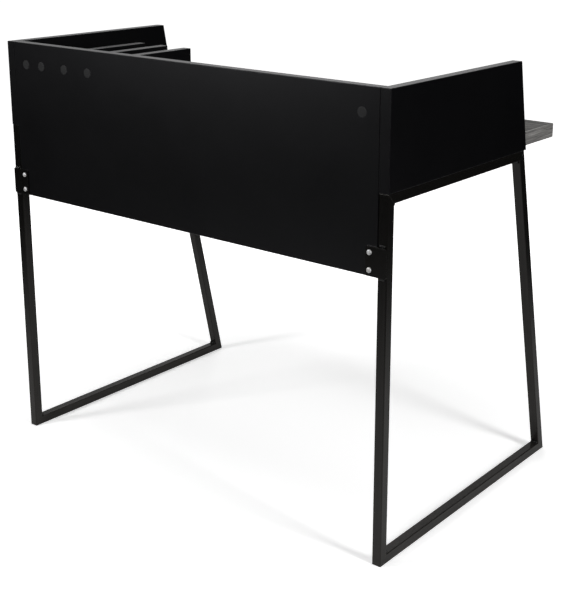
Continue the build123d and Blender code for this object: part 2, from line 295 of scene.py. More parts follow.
# ---------------------------------------------------------------- shared effects
# Features per metre, along the grain and across it.
LONG_FIBRES = (7.0, 210.0, 210.0)
FINE_FIBRES = (24.0, 560.0, 560.0)
BROAD_BANDS = (1.1, 16.0, 16.0)

# Ramps are (from, to, value at from, value at to). Noise mostly lies between 0.3 and 0.7.
EDGE_BY_AGREEMENT = (1.0, 0.85, 0.0, 1.0)  # of the rounded normal with the true one
EDGE_BY_PATCH = (0.35, 0.7, 0.25, 1.0)
GRAIN_BY_NOISE = (0.40, 0.62, 0.0, 1.0)
PORES_BY_NOISE = (0.56, 0.72, 0.0, 1.0)
BANDS_BY_NOISE = (0.3, 0.7, 0.0, 1.0)


def mottle_effect(name):
    """Cloudy and fine speckle together: a height for bumps, and a value round 1 for the rest."""
    tree, given, result = new_group(
        name,
        [("Vector", "Vector", None), ("Fine Scale", "Float", 900.0), ("Broad Scale", "Float", 9.0),
         ("Fine Share", "Float", 0.5), ("Strength", "Float", 0.1)],
        [("Height", "Float"), ("Value", "Float")])
    fine = noise(tree, given.outputs["Vector"], given.outputs["Fine Scale"], 3.0, 0.6)
    broad = noise(tree, given.outputs["Vector"], given.outputs["Broad Scale"], 4.0, 0.55, 0.4)
    share = given.outputs["Fine Share"]
    mixed = maths(tree, "ADD", maths(tree, "MULTIPLY", fine, share),
                  maths(tree, "MULTIPLY", broad, maths(tree, "SUBTRACT", 1.0, share)))
    swing = maths(tree, "MULTIPLY", maths(tree, "SUBTRACT", mixed, 0.5),
                  maths(tree, "MULTIPLY", given.outputs["Strength"], 4.0))
    feed(tree, result.inputs["Height"], fine)
    feed(tree, result.inputs["Value"], maths(tree, "ADD", swing, 1.0))
    return tree


def edge_effect(name):
    """Rounded-edge normal, and a mask of the edges that is broken up by noise, which the finishes
    use for edge wear and for painted shade on edges.
    """
    tree, given, result = new_group(
        name,
        [("Vector", "Vector", None), ("Radius", "Float", 0.0008),
         ("Break-up Scale", "Float", 60.0)],
        [("Normal", "Vector"), ("Mask", "Float")])
    bevel = add_node(tree, "ShaderNodeBevel", {"Radius": given.outputs["Radius"]}, samples=6)
    true_normal = add_node(tree, "ShaderNodeNewGeometry").outputs["True Normal"]
    agreement = vector_maths(tree, "DOT_PRODUCT", bevel.outputs["Normal"], true_normal,
                             output="Value")
    edge = map_range(tree, agreement, *EDGE_BY_AGREEMENT)
    patches = noise(tree, given.outputs["Vector"], given.outputs["Break-up Scale"], 4.0)
    speckle = map_range(tree, patches, *EDGE_BY_PATCH)
    feed(tree, result.inputs["Normal"], bevel.outputs["Normal"])
    feed(tree, result.inputs["Mask"], maths(tree, "MULTIPLY", edge, speckle, clamp=True))
    return tree


def grain_effect(name):
    """Wood grain: noise drawn out along X; long fibres, fine pores and broad bands."""
    tree, given, result = new_group(
        name,
        [("Vector", "Vector", None), ("Fibre Scale", "Float", 1.0)],
        [("Grain", "Float"), ("Pores", "Float"), ("Bands", "Float")])
    vector = add_node(tree, "ShaderNodeVectorMath", {
        "Vector": given.outputs["Vector"], "Scale": given.outputs["Fibre Scale"],
    }, operation="SCALE").outputs["Vector"]
    fibres = noise(tree, vector_maths(tree, "MULTIPLY", vector, LONG_FIBRES), 1.0, 5.0, 0.62, 0.35)
    pores = noise(tree, vector_maths(tree, "MULTIPLY", vector, FINE_FIBRES), 1.0, 3.0, 0.7)
    bands = noise(tree, vector_maths(tree, "MULTIPLY", vector, BROAD_BANDS), 1.0, 3.0, 0.5, 0.8)
    grain = maths(tree, "ADD", maths(tree, "MULTIPLY", fibres, 0.6),
                  maths(tree, "MULTIPLY", pores, 0.4))
    feed(tree, result.inputs["Grain"], map_range(tree, grain, *GRAIN_BY_NOISE))
    feed(tree, result.inputs["Pores"], map_range(tree, pores, *PORES_BY_NOISE))
    feed(tree, result.inputs["Bands"], map_range(tree, bands, *BANDS_BY_NOISE))
    return tree


# ---------------------------------------------------------------- finishes
# Textures are (fine scale, broad scale, fine share, strength), with scales in features per metre.
ORANGE_PEEL = (520.0, 11.0, 0.5, 0.05)
PEARL = (1100.0, 7.0, 0.45, 0.08)
SPARK_ERODED = (2400.0, 60.0, 0.6, 0.12)

# A satin finish: its roughness, its texture, the depth of the fine texture in metres, and how light
# its
# edges are against the rest: above 1 they are lighter with wear, under 1 darker as painted shade.
Satin = namedtuple("Satin", "roughness texture depth edge_light")
BOARD_SATIN = Satin(0.32, PEARL, 0.00002, 3.0)
# The tubes' edges are painted darker: painted shade for the dark line along their rounded corners.
TUBE_SATIN = Satin(0.24, ORANGE_PEEL, 0.00001, 0.1)
PLATE_SATIN = Satin(0.24, ORANGE_PEEL, 0.00001, 1.6)
WELD_SATIN = Satin(0.14, ORANGE_PEEL, 0.00002, 0.6)
COVER_SATIN = Satin(0.55, SPARK_ERODED, 0.00003, 1.5)

BOARD_TINT = (0.95, 0.95, 1.0, 1.0)  # cool gloss of the laminate
COAT_TINT = (1.0, 0.96, 0.92, 1.0)  # warm gloss of the powder coat
WELD_PAINTED_SHADE = 0.25  # painted shade: the welds' colour against the tubes', darker for the dark inner corners
COVER_RIM = 0.0003  # apparent rounding of a cover's rim
# Painted reflection of the lit floor: the steel is painted lighter towards the feet, in cloudy
# patches.
FLOOR_REFLECTION_SCALE = 26.0
FLOOR_REFLECTION_BY_HEIGHT = (0.0, 0.62, 0.021, 0.0)
FLOOR_REFLECTION_BY_PATCH = (0.3, 0.7, 0.6, 1.4)

METAL_TEXTURE = (180.0, 0.5, 0.18)  # without its fine scale
METAL_DEPTH = 0.00002
METAL_STAIN = (1.04, 0.97, 0.86)  # stained metal against clean metal
STAIN_SCALE = 240.0
STAIN_BY_PATCH = (0.4, 0.7, 0.0, 0.6)

# The desktop's grain: the first three pairs are for its faces and for its ends, which are the same
# laminate.
GRAIN_SCALE = (1.0, 1.7)
GRAIN_CONTRAST = (1.0, 0.65)
# The ends' lighter tone is painted light, for the light falling on the end faces.
GRAIN_TONE_AND_PAINTED_END_LIGHT = (0.71, 1.16)
GRAIN_GLOSS = (0.72, 0.60)  # roughness of dark and of light fibres
GRAIN_DEPTH = 0.00006
END_FACING = 0.7  # a normal that points along X by more than this is on an end
BAND_SHARE = 0.4
PORE_SHARE = 0.5
PORE_SHADE = 0.55  # pores against the dark lines
RUB_SHARE = 0.12
RUB_LIGHT = 1.25  # worn edges against the light lines

BEECH_SCALE = 4.0
BEECH_GLOSS = (0.60, 0.75)  # roughness between the bands and on them
BEECH_SHADE = 0.6  # dark wood against light
BEECH_DEPTH = 0.00008
FLECK_SHARE = 0.6


def start_material(name):
    """A new material: (its tree, its Principled BSDF, the object coordinates)."""
    material = bpy.data.materials.new(name)
    material.use_nodes = True
    tree = material.node_tree
    shader = next(node for node in tree.nodes if node.type == "BSDF_PRINCIPLED")
    place = add_node(tree, "ShaderNodeTexCoord").outputs["Object"]
    return material, tree, shader, place


def mottle(tree, place, texture):
    """The mottle group's node for a texture."""
    settings = zip(("Fine Scale", "Broad Scale", "Fine Share", "Strength"), texture)
    return use_group(tree, "mottle_effect", mottle_effect, {"Vector": place, **dict(settings)})


def eased_edges(tree, place, radius):
    """The edge group's node for edges of this apparent rounding."""
    return use_group(tree, "edge_effect", edge_effect, {"Vector": place, "Radius": radius})


def satin(tree, shader, place, colour, look, edge_radius):
    """Fills in a satin finish: mottled colour and gloss, and eased edges: lighter with wear, and
    darker as painted shade where the edge setting is under 1.
    """
    texture = mottle(tree, place, look.texture)
    edges = eased_edges(tree, place, edge_radius)
    value = texture.outputs["Value"]
    body = mix_colour(tree, 1.0, colour, value, blend="MULTIPLY")
    # Edges: lighter with wear on most finishes, darker as painted shade on the tubes and welds.
    edge_worn_and_shaded = mix_colour(tree, 1.0, colour, rgba([look.edge_light] * 3), blend="MULTIPLY")
    feed(tree, shader.inputs["Base Color"],
         mix_colour(tree, edges.outputs["Mask"], body, edge_worn_and_shaded))
    feed(tree, shader.inputs["Roughness"],
         maths(tree, "MULTIPLY", value, look.roughness, clamp=True))
    feed(tree, shader.inputs["Normal"],
         bump(tree, look.depth, texture.outputs["Height"], edges.outputs["Normal"]))


def black_board(name):
    """Satin black laminate: fine pearl texture and barely rubbed edges."""
    scene = bpy.context.scene
    material, tree, shader, place = start_material(name)
    satin(tree, shader, place, rgba(scene.desk_colours.board), BOARD_SATIN,
          scene.desk_sizes.board_edge)
    shader.inputs["Specular IOR Level"].default_value = 0.52
    shader.inputs["Specular Tint"].default_value = BOARD_TINT
    return material


def powder_coat(name, look, edge_radius):
    """Semi-gloss black powder coat: orange peel, corners darker on the tubes as painted shade and a
    little lighter on the brackets with wear, and a painted reflection of the lit floor: the steel
    is painted lighter near the feet, fading out above them."""
    colours = bpy.context.scene.desk_colours
    material, tree, shader, place = start_material(name)
    height = add_node(tree, "ShaderNodeSeparateXYZ", {0: place}).outputs["Z"]
    # Painted reflection of the lit floor: lighter steel towards the feet.
    reflection_by_height = map_range(tree, height, *FLOOR_REFLECTION_BY_HEIGHT, smooth=True)
    cloudy = map_range(tree, noise(tree, place, FLOOR_REFLECTION_SCALE, 4.0, 0.6), *FLOOR_REFLECTION_BY_PATCH)
    with_floor_reflection = mix_colour(tree, maths(tree, "MULTIPLY", reflection_by_height, cloudy), rgba(colours.steel),
                        rgba(colours.painted_floor_reflection))
    satin(tree, shader, place, with_floor_reflection, look, edge_radius)
    shader.inputs["Specular Tint"].default_value = COAT_TINT
    return material


def coated_tube(name):
    """Powder coat on the tubes, whose corners are rounded."""
    return powder_coat(name, TUBE_SATIN, bpy.context.scene.desk_sizes.tube_edge)


def coated_plate(name):
    """Powder coat on the brackets, whose edges are crisp."""
    return powder_coat(name, PLATE_SATIN, bpy.context.scene.desk_sizes.plate_edge)


def coated_weld(name):
    """Powder coat on the weld beads, glossy, with its colour darkened as painted shade for the dark
    inner corners.
    """
    scene = bpy.context.scene
    material, tree, shader, place = start_material(name)
    # The welds' colour is darkened: painted shade.
    satin(tree, shader, place, rgba(scene.desk_colours.steel, WELD_PAINTED_SHADE), WELD_SATIN,
          scene.desk_sizes.plate_edge)
    shader.inputs["Specular IOR Level"].default_value = 0.42
    return material


def matte_cover(name):
    """Matte moulded plastic with a spark-eroded texture."""
    colour = bpy.context.scene.desk_colours.cover
    material, tree, shader, place = start_material(name)
    satin(tree, shader, place, rgba(colour), COVER_SATIN, COVER_RIM)
    shader.inputs["Specular IOR Level"].default_value = 0.4
    return material


def grey_grain(name):
    """Grey wood-grain laminate; the grain runs along X, and along Y on the ends, whose lighter
    tone is painted light.
    """
    sizes, colours = bpy.context.scene.desk_sizes, bpy.context.scene.desk_colours
    material, tree, shader, place = start_material(name)
    normal = add_node(tree, "ShaderNodeTexCoord").outputs["Normal"]
    facing = add_node(tree, "ShaderNodeSeparateXYZ", {0: normal}).outputs["X"]
    on_end = maths(tree, "GREATER_THAN", maths(tree, "ABSOLUTE", facing), END_FACING)
    turned = add_node(tree, "ShaderNodeMapping", {
        "Vector": place, "Rotation": (0.0, 0.0, pi / 2)}).outputs["Vector"]
    scale, contrast, tone_and_painted_end_light = (map_range(tree, on_end, 0.0, 1.0, *pair)
                             for pair in (GRAIN_SCALE, GRAIN_CONTRAST, GRAIN_TONE_AND_PAINTED_END_LIGHT))
    grain = use_group(tree, "grain_effect", grain_effect, {
        "Vector": mix_vector(tree, on_end, place, turned), "Fibre Scale": scale})
    edges = eased_edges(tree, place, sizes.board_edge)
    swing = maths(tree, "MULTIPLY", maths(tree, "SUBTRACT", grain.outputs["Grain"], 0.5), contrast)
    colour = mix_colour(tree, maths(tree, "ADD", swing, 0.5), rgba(colours.top_dark),
                        rgba(colours.top_light))
    for mask, share, over in (
        (grain.outputs["Bands"], BAND_SHARE, rgba(colours.top_dark)),
        (grain.outputs["Pores"], PORE_SHARE, rgba(colours.top_dark, PORE_SHADE)),
        (edges.outputs["Mask"], RUB_SHARE, rgba(colours.top_light, RUB_LIGHT)),
    ):
        colour = mix_colour(tree, maths(tree, "MULTIPLY", mask, share), colour, over)
    # The tone paints the ends lighter than the faces: painted light.
    feed(tree, shader.inputs["Base Color"],
         mix_colour(tree, 1.0, colour, tone_and_painted_end_light, blend="MULTIPLY"))
    feed(tree, shader.inputs["Roughness"],
         map_range(tree, grain.outputs["Grain"], 0.0, 1.0, *GRAIN_GLOSS))
    shader.inputs["Specular IOR Level"].default_value = 0.12
    feed(tree, shader.inputs["Normal"],
         bump(tree, GRAIN_DEPTH, grain.outputs["Grain"], edges.outputs["Normal"]))
    return material


def bare_metal(name, colour, roughness, scratch_scale):
    """Bare metal: fine grain in its colour and gloss, a faint warm stain, and small pits."""
    material, tree, shader, place = start_material(name)
    texture = mottle(tree, place, (scratch_scale, *METAL_TEXTURE))
    value = texture.outputs["Value"]
    stained = rgba([part * shade for part, shade in zip(colour, METAL_STAIN)])
    stain = map_range(tree, noise(tree, place, STAIN_SCALE, 2.0), *STAIN_BY_PATCH)
    tinted = mix_colour(tree, stain, rgba(colour), stained)
    feed(tree, shader.inputs["Base Color"],
         mix_colour(tree, 1.0, tinted, value, blend="MULTIPLY"))
    shader.inputs["Metallic"].default_value = 1.0
    feed(tree, shader.inputs["Roughness"], maths(tree, "MULTIPLY", value, roughness, clamp=True))
    feed(tree, shader.inputs["Normal"], bump(tree, METAL_DEPTH, texture.outputs["Height"]))
    return material


def zinc_plate(name):
    """Bright zinc plating of the screws."""
    return bare_metal(name, bpy.context.scene.desk_colours.zinc, roughness=0.50,
                      scratch_scale=2600.0)


def cast_zinc(name):
    """Dull die-cast zinc of the cams and bolts."""
    return bare_metal(name, bpy.context.scene.desk_colours.cast, roughness=0.42,
                      scratch_scale=1500.0)


def dowel_wood(name):
    """Beech with short flecks along the dowels."""
    colour = bpy.context.scene.desk_colours.dowel
    material, tree, shader, place = start_material(name)
    grain = use_group(tree, "grain_effect", grain_effect, {
        "Vector": place, "Fibre Scale": BEECH_SCALE})
    dark = rgba(colour, BEECH_SHADE)
    wood = mix_colour(tree, grain.outputs["Grain"], dark, rgba(colour))
    feed(tree, shader.inputs["Base Color"],
         mix_colour(tree, maths(tree, "MULTIPLY", grain.outputs["Pores"], FLECK_SHARE), wood, dark))
    feed(tree, shader.inputs["Roughness"],
         map_range(tree, grain.outputs["Bands"], 0.0, 1.0, *BEECH_GLOSS))
    feed(tree, shader.inputs["Normal"], bump(tree, BEECH_DEPTH, grain.outputs["Grain"]))
    return material


def finish(names, material):
    """Gives CAD nodes a material in place of their plain one."""
    for name in names:
        slots = NODES[name].material_slots
        if not slots:
            raise RuntimeError(f"{name} has no material slot")
        for slot in slots:
            slot.material = material


# ---------------------------------------------------------------- surfaces
DIGITS = 6  # corners whose places agree to this many digits are one corner
TOUCH = 0.00001  # corners this near an end of a screw are on it

# Proportions of a pan-head screw: shares of its head's radius or height, or its shank's radius.
DOME_RINGS = np.concatenate([np.linspace(0.02, 0.62, 26), np.linspace(0.65, 1.0, 12)])
DOME_EDGE = 0.52  # height of the dome's edge
DOME_POWER = 2.6  # how flat the dome is in its middle
RIM_HEIGHT = 0.25  # height at which the rim's side turns in
RIM_UNDER = 0.985  # radius of the flat under the head
NECK_RADIUS, NECK_DEPTH = 1.15, 0.15  # flare of the shank under the head
POINT_RADIUS, POINT_LENGTH = 0.15, 2.0  # blunt end of the point, and the point's length
RECESS_BLUR = 0.18  # width of the recess's sides, as a share of its width
RECESS_RUNOUT = 0.25  # length over which an arm ends, as a share of its reach
RECESS_RISE = 0.35  # how much shallower an arm is at its end than at the middle
RAIL_SHANK = 0.45  # shank of a rail screw, as a share of its head
RAIL_SCREW_LENGTH = 0.006

COVER_CROWN = 0.00008
COVER_RINGS, RIM_STEPS = 12, 8
INNER_RING, BASE_RING = 0.05, 0.1  # innermost rings of a cover's face and back

BEAD_COLUMNS = 17  # points across a weld bead's face
RIPPLE_ROWS, FEWEST_ROWS = 10, 24  # rows to a ripple, and to the shortest bead
RIPPLE_LAG = 0.9  # how far the ripples trail at the toes, in ripples
BEAD_CAP = 0.6  # length of a bead's rounded end, in ripples
BEAD_TIP = 0.02  # size of the section at the very end
BEAD_SHARP = radians(50)
EDGE_SHARP = radians(35)


def grid_quads(rows, columns):
    """Quads of a grid numbered row by row, whose last column joins its first."""
    i, j = np.meshgrid(np.arange(rows - 1), np.arange(columns), indexing="ij")
    k = (j + 1) % columns
    row, next_row = i * columns, (i + 1) * columns
    corners = (row + j, row + k, next_row + k, next_row + j)
    return np.stack(corners, axis=-1).reshape(-1, 4)


def closed_grid(points):
    """Closes a tube of (rows, columns, 3) points with a pole at each end, the mean of its end row.

    The result is (vertices, quads, triangles).
    """
    rows, columns = points.shape[:2]
    poles = points[[0, -1]].mean(axis=1)
    vertices = np.concatenate([points.reshape(-1, 3), poles])
    j = np.arange(columns)
    k = (j + 1) % columns
    first_pole, last_row = rows * columns, (rows - 1) * columns
    start = np.stack([np.full(columns, first_pole), k, j], axis=-1)
    end = np.stack([np.full(columns, first_pole + 1), last_row + j, last_row + k], axis=-1)
    return vertices, grid_quads(rows, columns), np.concatenate([start, end])


def join_shapes(shapes):
    """Several (vertices, quads, triangles) as one."""
    offsets = np.cumsum([0] + [len(vertices) for vertices, _, _ in shapes[:-1]])
    return (
        np.concatenate([vertices for vertices, _, _ in shapes]),
        np.concatenate([quads + o for (_, quads, _), o in zip(shapes, offsets)]),
        np.concatenate([triangles + o for (_, _, triangles), o in zip(shapes, offsets)]),
    )


def add_piece(name, shapes, material, replaced=(), sharp=EDGE_SHARP):
    """One finished piece from closed shapes, which stands for the CAD nodes named in replaced."""
    vertices, quads, triangles = join_shapes(shapes)
    mesh = bpy.data.meshes.new(name)
    mesh.from_pydata(vertices.tolist(), [], quads.tolist() + triangles.tolist())
    mesh.validate()
    mesh.shade_smooth()
    mesh.set_sharp_from_angle(angle=sharp)
    mesh.materials.append(material)
    piece = bpy.data.objects.new(name, mesh)
    bpy.context.scene.collection.objects.link(piece)
    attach(piece, "root")
    if replaced:
        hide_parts(*replaced)
    return piece


def islands(name):
    """Corners of a CAD node's separate solids, as one array of places for each solid.

    Triangles that share a corner belong together: each corner takes the lowest label it can reach.
    """
    mesh = NODES[name].data
    places = np.zeros(len(mesh.vertices) * 3, np.float32)
    mesh.vertices.foreach_get("co", places)
    places = places.reshape(-1, 3)
    corners = np.zeros(len(mesh.loops), np.int32)
    mesh.loops.foreach_get("vertex_index", corners)
    _, merged = np.unique(np.round(places, DIGITS), axis=0, return_inverse=True)
    triangles = merged.reshape(-1)[corners].reshape(-1, 3)
    labels = np.arange(merged.max() + 1)
    while True:
        lowest = labels[triangles].min(axis=1)
        new = labels.copy()
        for column in range(3):
            np.minimum.at(new, triangles[:, column], lowest)
        if (new == labels).all():
            break
        labels = new
    owner = labels[merged.reshape(-1)]
    return [places[owner == label].astype(float) for label in np.unique(owner)]


def turn_profile(profile, columns):
    """Turns a profile of (radius, height) about the axis: (rows, columns) of x, y and height."""
    angles = np.linspace(0, 2 * pi, columns, endpoint=False)
    radius, angle = np.meshgrid(profile[:, 0], angles, indexing="ij")
    height = np.repeat(profile[:, 1:], columns, axis=1)
    return radius * np.cos(angle), radius * np.sin(angle), height


def place_turned(x, y, height, mouth, axis):
    """Sets (rows, columns) of local x, y and height on the mouth, with height along the axis."""
    axis = np.array(axis, float)
    side = np.array([0.0, 0.0, 1.0]) if abs(axis[2]) < 0.5 else np.array([1.0, 0.0, 0.0])
    other = np.cross(axis, side)
    points = np.array(mouth) + x[..., None] * side + y[..., None] * other + height[..., None] * axis
    return closed_grid(points[:, ::-1])


def screw_surface(mouth, axis, head_radius, head_height, shank_radius, length, sizes):
    """Pan-head screw with a cross recess.

    A profile of (radius, height) is turned about the axis: a low dome from the middle of the head
    to its rim, the rim's side, the flat under the head and the shank. The recess lowers the dome
    by its depth times a cross-shaped mask, which falls smoothly to 0 at the sides and the ends of
    the arms.
    """
    swell = np.sqrt(np.clip(1 - DOME_RINGS ** DOME_POWER, 0, None))
    dome = np.stack([DOME_RINGS * head_radius,
                     head_height * (DOME_EDGE + (1 - DOME_EDGE) * swell)], axis=-1)
    rest = np.array([
        [head_radius, RIM_HEIGHT * head_height],
        [RIM_UNDER * head_radius, 0.0],
        [NECK_RADIUS * shank_radius, 0.0],
        [shank_radius, -NECK_DEPTH * head_height],
        [shank_radius, POINT_LENGTH * shank_radius - length],
        [POINT_RADIUS * shank_radius, -length],
    ])
    x, y, height = turn_profile(np.concatenate([dome, rest]), sizes.columns)
    inside = sizes.recess_width / 2 - np.minimum(np.abs(x), np.abs(y))
    across = np.clip(inside / (RECESS_BLUR * sizes.recess_width) + 0.5, 0, 1)
    reach = np.hypot(x, y) / sizes.recess_reach
    along = np.clip((1.0 - reach) / RECESS_RUNOUT, 0, 1)
    mask = across * along * (1 - RECESS_RISE * np.clip(reach, 0, 1))
    mask[len(dome):] = 0
    return place_turned(x, y, height - sizes.recess_depth * mask, mouth, axis)


def cover_surface(middle, radius, thickness, axis, sizes):
    """Stick-on cover: a profile turned about the axis, with a slight crown and a quarter-round rim.

    The crown falls with the square of the radius.
    """
    rim = min(sizes.cover_edge, thickness * 0.9)
    flat_radii = np.linspace(INNER_RING, 1.0, COVER_RINGS) * (radius - rim)
    flat = np.stack([flat_radii, thickness - COVER_CROWN * (flat_radii / radius) ** 2], axis=-1)
    turn = np.linspace(0, pi / 2, RIM_STEPS)[1:]
    quarter = np.stack([radius - rim + rim * np.sin(turn),
                        thickness - COVER_CROWN - rim + rim * np.cos(turn)], axis=-1)
    base = np.array([[radius, 0.0], [radius * BASE_RING, 0.0]])
    x, y, height = turn_profile(np.concatenate([flat, quarter, base]), sizes.columns)
    return place_turned(x, y, height, middle, axis)


def bead_surface(points, sizes, growth):
    """Rippled weld bead in the place of a plain one, which runs along X.

    The plain bead's section is the triangle of its root and its two toes. The new section runs
    from toe to toe over a crown and back by the root, growth times as large about the root, and it
    is carried along X. The crown's height swells and sinks with |sin| of the place along the bead
    plus a lag that grows to the toes, which gives the crescent ripples. Near each end the section
    shrinks to its root like a quarter circle.
    """
    section = np.unique(np.round(points[:, 1:], DIGITS), axis=0)
    gaps = np.linalg.norm(section[:, None] - section[None], axis=-1)
    a, b = np.unravel_index(gaps.argmax(), gaps.shape)
    toe_a, toe_b = section[a], section[b]
    chord = toe_b - toe_a
    normal = np.array([-chord[1], chord[0]]) / np.linalg.norm(chord)
    heights = (section - toe_a) @ normal
    root = section[np.abs(heights).argmax()]
    if (root - toe_a) @ normal > 0:
        normal = -normal
    toe_a, toe_b = root + growth * (toe_a - root), root + growth * (toe_b - root)
    chord = toe_b - toe_a
    low, high = points[:, 0].min(), points[:, 0].max()
    pitch = sizes.ripple_pitch
    rows = max(FEWEST_ROWS, int((high - low) / pitch * RIPPLE_ROWS))
    s = np.linspace(low, high, rows)
    t = np.linspace(0, 1, BEAD_COLUMNS)
    from_end = np.clip(np.minimum(s - low, high - s) / (BEAD_CAP * pitch), 0, 1)
    shrink = np.clip(np.sqrt(1 - (1 - from_end) ** 2), BEAD_TIP, 1)
    lag = RIPPLE_LAG * (2 * t - 1) ** 2
    ripple = np.abs(np.sin(pi * (s[:, None] / pitch + lag)))
    rise = sizes.ripple_height * ripple + sizes.bead_crown * np.linalg.norm(chord)
    face = toe_a + t[None, :, None] * chord + (np.sin(pi * t) * rise)[..., None] * normal
    legs = np.stack([0.5 * (toe_b + root), root, 0.5 * (toe_a + root)])
    legs = np.broadcast_to(legs, (rows, *legs.shape))
    loop = root + (np.concatenate([face, legs], axis=1) - root) * shrink[:, None, None]
    along = np.broadcast_to(s[:, None, None], (*loop.shape[:2], 1))
    tube = np.concatenate([along, loop], axis=-1)
    area = np.cross(toe_b - toe_a, root - toe_a)
    return closed_grid(tube if area > 0 else tube[:, ::-1])


# ---------------------------------------------------------------- stage
WHITE = (1.0, 1.0, 1.0, 1.0)
GLOW_BY_DISTANCE = (0.3, 1.75, 0.415, 1.0)  # what the floor shows besides its light
POOL_BY_DISTANCE = (0.45, 2.3, 0.68, 0.02)  # how light the floor is to the desk
WALL_BY_TURN = (0.52, 0.92, 0.0, 1.0)
WALL_TOP = (0.24, 0.52)  # rise of a view over which the walls end
WALL_REST = 0.02  # level above the walls
WALL_DIRECTION = (0.606, -0.795, 0.0)  # heading of one lit wall; the other is opposite
BRIGHT_DIRECTION = (0.58, 0.80, 0.15)  # the studio is brighter on this side than on the other
ROOM_TURN = (-0.5, 0.9)  # from the dim side to the bright one
FLOOR_REACH = 30.0
LAMP_TARGET = Vector((0.0, 0.0, 0.4))
LAMPS = {  # place, (width, height), setting that holds the power
    "key_lamp": ((0.1, 0.60, 3.15), (1.3, 1.3), "key_power"),
    "left_lamp": ((-2.75, 0.40, 1.75), (0.5, 1.6), "left_power"),
    "rear_lamp": ((1.52, 2.34, 1.75), (0.5, 1.6), "rear_power"),
    "front_lamp": ((1.3, -1.9, 3.0), (1.5, 1.5), "front_power"),
}


def studio_world(studio):
    """White for what looks past the desk; for the desk itself, a dim room with two lit walls."""
    world = bpy.data.worlds.new("studio")
    world.use_nodes = True
    tree = world.node_tree
    tree.nodes.clear()
    direction = add_node(tree, "ShaderNodeTexCoord").outputs["Generated"]
    along = vector_maths(tree, "DOT_PRODUCT", direction, WALL_DIRECTION, output="Value")
    toward = vector_maths(tree, "DOT_PRODUCT", direction, BRIGHT_DIRECTION, output="Value")
    rise = add_node(tree, "ShaderNodeSeparateXYZ", {0: direction}).outputs["Z"]
    room = map_range(tree, toward, *ROOM_TURN, studio.dim, studio.ambient, smooth=True)
    side = map_range(tree, maths(tree, "ABSOLUTE", along), *WALL_BY_TURN, smooth=True)
    wall = maths(tree, "MULTIPLY", side,
                 map_range(tree, rise, *WALL_TOP, studio.wall, WALL_REST, smooth=True))
    seen = add_node(tree, "ShaderNodeLightPath").outputs["Is Camera Ray"]
    level = maths(tree, "MAXIMUM", maths(tree, "MAXIMUM", wall, room), seen)
    background = add_node(tree, "ShaderNodeBackground", {"Color": WHITE, "Strength": level})
    add_node(tree, "ShaderNodeOutputWorld", {"Surface": background.outputs[0]})
    return world


def make_floor():
    """Wide flat floor. It shows as white paper with faint shadows, and it lights the desk as a lit
    pool that fades out round it."""
    mesh = bpy.data.meshes.new("floor")
    corners = [(x * FLOOR_REACH, y * FLOOR_REACH, CAD_LOW.z)
               for x, y in ((-1, -1), (1, -1), (1, 1), (-1, 1))]
    mesh.from_pydata(corners, [], [(0, 1, 2, 3)])
    floor = bpy.data.objects.new("floor", mesh)
    bpy.context.scene.collection.objects.link(floor)
    material = bpy.data.materials.new("studio_floor")
    material.use_nodes = True
    tree = material.node_tree
    tree.nodes.clear()
    place = add_node(tree, "ShaderNodeTexCoord").outputs["Object"]
    distance = vector_maths(tree, "LENGTH", place, output="Value")
    pool = map_range(tree, distance, *POOL_BY_DISTANCE, smooth=True)
    pool_colour = add_node(tree, "ShaderNodeCombineColor", {0: pool, 1: pool, 2: pool}).outputs[0]
    lit = add_node(tree, "ShaderNodeBsdfDiffuse", {"Color": pool_colour}).outputs[0]
    paper = add_node(tree, "ShaderNodeBsdfDiffuse", {"Color": WHITE}).outputs[0]
    glow_level = map_range(tree, distance, *GLOW_BY_DISTANCE, smooth=True)
    glow = add_node(tree, "ShaderNodeEmission", {"Strength": glow_level}).outputs[0]
    shown = add_node(tree, "ShaderNodeAddShader", {0: paper, 1: glow}).outputs[0]
    seen = add_node(tree, "ShaderNodeLightPath").outputs["Is Camera Ray"]
    both = add_node(tree, "ShaderNodeMixShader", {0: seen, 1: lit, 2: shown}).outputs[0]
    add_node(tree, "ShaderNodeOutputMaterial", {"Surface": both})
    mesh.materials.append(material)
    return floor


def add_lamp(name, place, size, power):
    """Soft lamp of a width and height, aimed at the middle of the desk."""
    data = bpy.data.lights.new(name, "AREA")
    data.shape = "RECTANGLE"
    data.size, data.size_y = size
    data.energy = power
    lamp = bpy.data.objects.new(name, data)
    lamp.location = place
    lamp.rotation_euler = (LAMP_TARGET - Vector(place)).to_track_quat("-Z", "Y").to_euler()
    bpy.context.scene.collection.objects.link(lamp)


def make_camera(studio):
    """Camera that looks at the desk from behind its left side, and down."""
    data = bpy.data.cameras.new("camera")
    data.sensor_fit = "AUTO"
    data.sensor_width = 36.0
    data.lens = studio.lens
    data.shift_x, data.shift_y = studio.shift
    camera = bpy.data.objects.new("camera", data)
    heading = Matrix.Rotation(pi + studio.heading, 4, "Z")
    tilt = Matrix.Rotation(pi / 2 - studio.tilt, 4, "X")
    roll = Matrix.Rotation(studio.roll, 4, "Z")
    camera.matrix_world = Matrix.Translation(studio.camera_place) @ heading @ tilt @ roll
    bpy.context.scene.collection.objects.link(camera)
    return camera


# ---------------------------------------------------------------- operators
class DESK_OT_boards(bpy.types.Operator):
    """Give the back panel, the side panels and the rack dividers their satin black laminate"""

    bl_idname = "desk.finish_boards"
    bl_label = "Finish Black Boards"

    def execute(self, context):
        finish(BLACK_BOARDS + DIVIDERS, once("black_laminate", black_board))
        return {"FINISHED"}


class DESK_OT_desktop(bpy.types.Operator):
    """Give the desktop its grey wood grain"""

    bl_idname = "desk.finish_desktop"
    bl_label = "Finish Desktop"

    def execute(self, context):
        finish(("desktop",), once("grey_wood_laminate", grey_grain))
        return {"FINISHED"}


